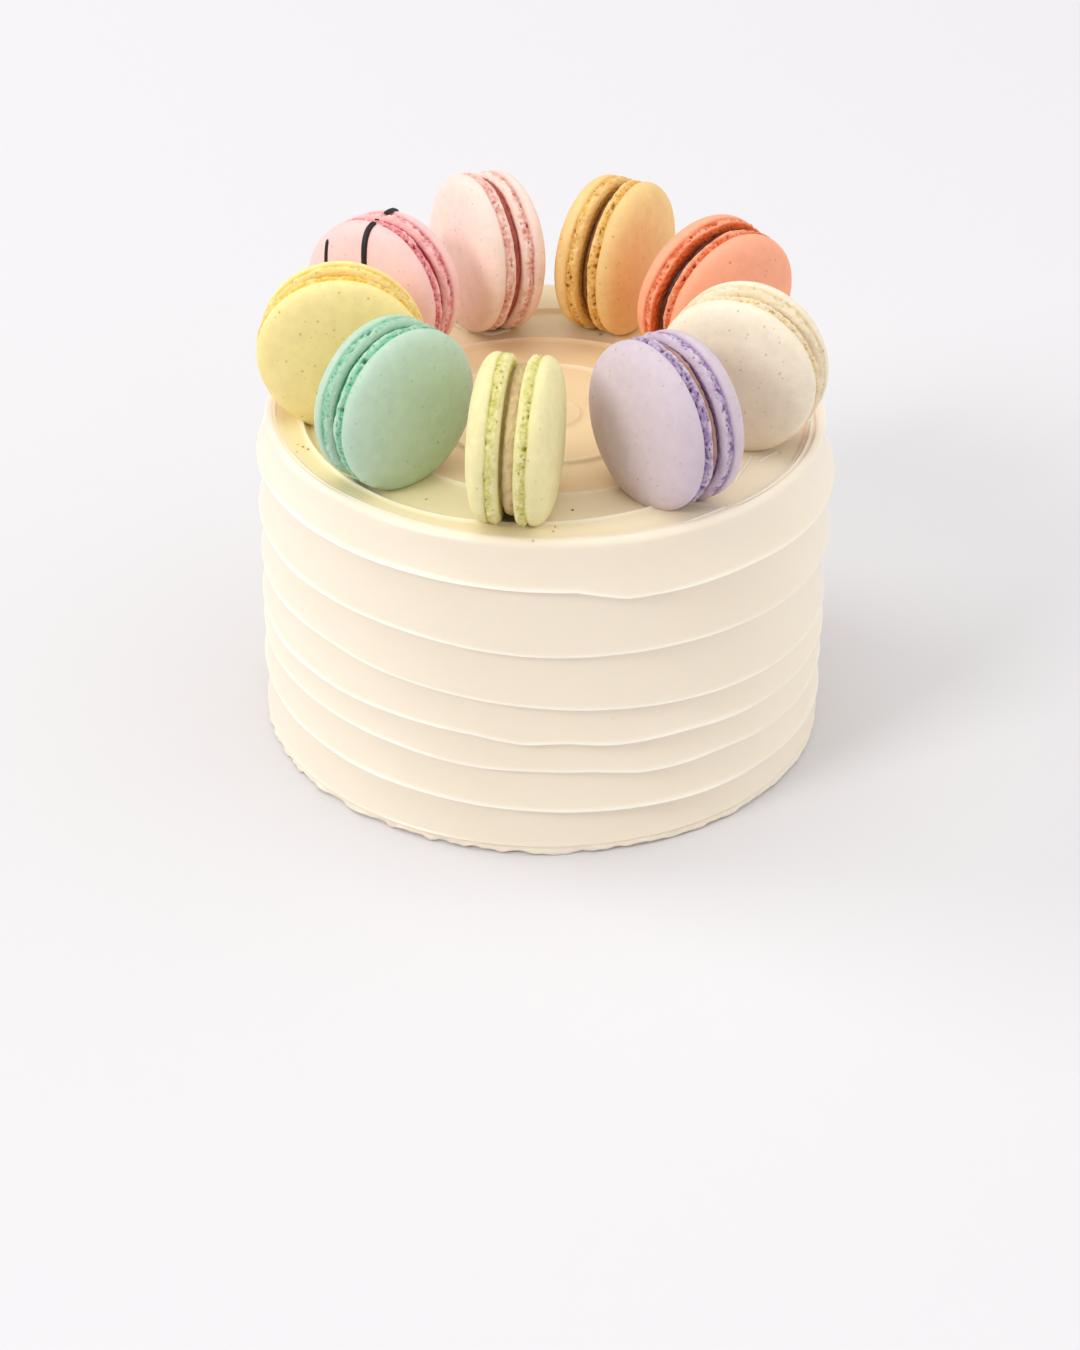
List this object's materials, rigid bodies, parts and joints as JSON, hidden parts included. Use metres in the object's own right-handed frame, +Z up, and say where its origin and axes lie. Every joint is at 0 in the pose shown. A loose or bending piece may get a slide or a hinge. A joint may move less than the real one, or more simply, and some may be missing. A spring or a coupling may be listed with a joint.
{
  "type": "layer cake",
  "caption": "Round buttercream layer cake with spatula-swept side bands and a ring of pastel macarons standing on edge on top.",
  "frame": {"origin": "middle of the flat bottom of the frosted cake", "axes": "+Z up along the cake's axis; -Y is the front, where the lime macaron stands; +X to the right seen from the front"},
  "size_m": [0.166, 0.1663, 0.143],
  "materials": {
    "buttercream": "smooth ivory buttercream with a soft satin sheen",
    "lime_shell": "matt baked almond meringue, pale yellow-green",
    "lavender_shell": "matt baked almond meringue, lavender",
    "cream_shell": "matt baked almond meringue, cream",
    "coral_shell": "matt baked almond meringue, coral orange",
    "tan_shell": "matt baked almond meringue, caramel tan",
    "blush_shell": "matt baked almond meringue, blush",
    "pink_shell": "matt baked almond meringue, pink, with set dark chocolate lines",
    "lemon_shell": "matt baked almond meringue, lemon yellow",
    "mint_shell": "matt baked almond meringue, mint green",
    "lime_filling": "smooth greige cream filling",
    "lavender_filling": "smooth pink-brown cream filling",
    "cream_filling": "smooth pale cream filling",
    "coral_filling": "smooth chocolate ganache",
    "tan_filling": "smooth dark chocolate ganache",
    "blush_filling": "smooth rose cream filling",
    "pink_filling": "smooth red jam cream filling",
    "lemon_filling": "smooth lemon curd filling",
    "mint_filling": "smooth mint cream filling"
  },
  "bodies": {
    "root": {"frosted_cake": "buttercream", "lime_macaron_shell_a": "lime_shell", "lime_macaron_shell_b": "lime_shell", "lime_macaron_filling": "lime_filling", "lavender_macaron_shell_a": "lavender_shell", "lavender_macaron_shell_b": "lavender_shell", "lavender_macaron_filling": "lavender_filling", "cream_macaron_shell_a": "cream_shell", "cream_macaron_shell_b": "cream_shell", "cream_macaron_filling": "cream_filling", "coral_macaron_shell_a": "coral_shell", "coral_macaron_shell_b": "coral_shell", "coral_macaron_filling": "coral_filling", "tan_macaron_shell_a": "tan_shell", "tan_macaron_shell_b": "tan_shell", "tan_macaron_filling": "tan_filling", "blush_macaron_shell_a": "blush_shell", "blush_macaron_shell_b": "blush_shell", "blush_macaron_filling": "blush_filling", "pink_macaron_shell_a": "pink_shell", "pink_macaron_shell_b": "pink_shell", "pink_macaron_filling": "pink_filling", "lemon_macaron_shell_a": "lemon_shell", "lemon_macaron_shell_b": "lemon_shell", "lemon_macaron_filling": "lemon_filling", "mint_macaron_shell_a": "mint_shell", "mint_macaron_shell_b": "mint_shell", "mint_macaron_filling": "mint_filling"}
  },
  "joints": []
}
